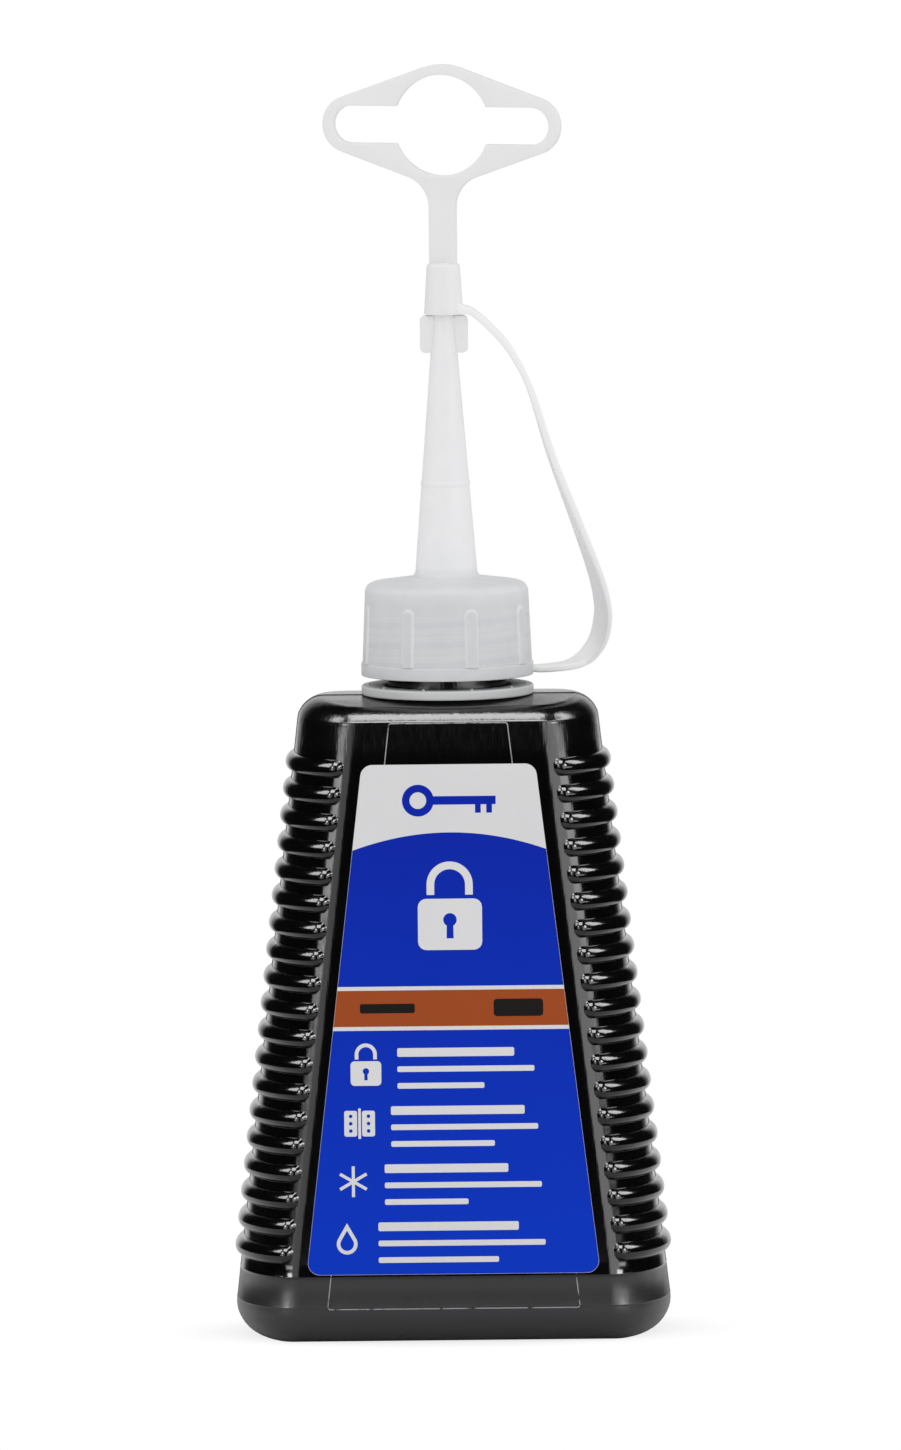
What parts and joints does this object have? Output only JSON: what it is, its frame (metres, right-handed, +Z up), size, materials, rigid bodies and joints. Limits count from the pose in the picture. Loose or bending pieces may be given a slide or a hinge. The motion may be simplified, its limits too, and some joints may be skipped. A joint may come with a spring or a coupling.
{
  "type": "powder lubricant squeeze bottle",
  "caption": "Black tapered squeeze bottle of graphite powder for locks, with ribbed sides, a front label, a screw cap with a long spout, and a tethered tip cap with a hanging eye.",
  "frame": {"origin": "middle of the bottle's flat base, on the floor", "axes": "+Z up along the neck and spout, -Y towards the label, +X to the right of the label"},
  "size_m": [0.0654, 0.0392, 0.1905],
  "materials": {
    "black_polyethylene": "glossy black blow-moulded polyethylene",
    "printed_film": "printed self-adhesive film",
    "graphite": "fine dark grey powder",
    "natural_polyethylene": "natural, slightly translucent, satin"
  },
  "bodies": {
    "bottle": {"bottle": "black_polyethylene", "front_label": "printed_film", "graphite_powder": "graphite"},
    "tamper_ring": {"tamper_ring": "natural_polyethylene"},
    "spout_cap": {"spout_cap": "natural_polyethylene", "tether_strap": "natural_polyethylene"},
    "tip_cap": {"tip_cap": "natural_polyethylene"}
  },
  "joints": [
    {"name": "cap_turn", "type": "hinge", "parent": "bottle", "child": "tamper_ring", "pos_m": [0, 0, 0.0967], "axis": [0, 0, 1], "range_deg": [-144, 1440]},
    {"name": "cap_lift", "type": "slide", "parent": "tamper_ring", "child": "spout_cap", "axis": [0, 0, 1], "range_m": [-0.00121, 0.01201]},
    {"name": "tip_pull", "type": "slide", "parent": "spout_cap", "child": "tip_cap", "axis": [0, 0, 1], "range_m": [0, 0.012], "deforming": ["tether_strap"]}
  ],
  "couplings": [
    {"joint": "cap_lift", "follows": "cap_turn", "m_per_rad": 0.00047746}
  ]
}
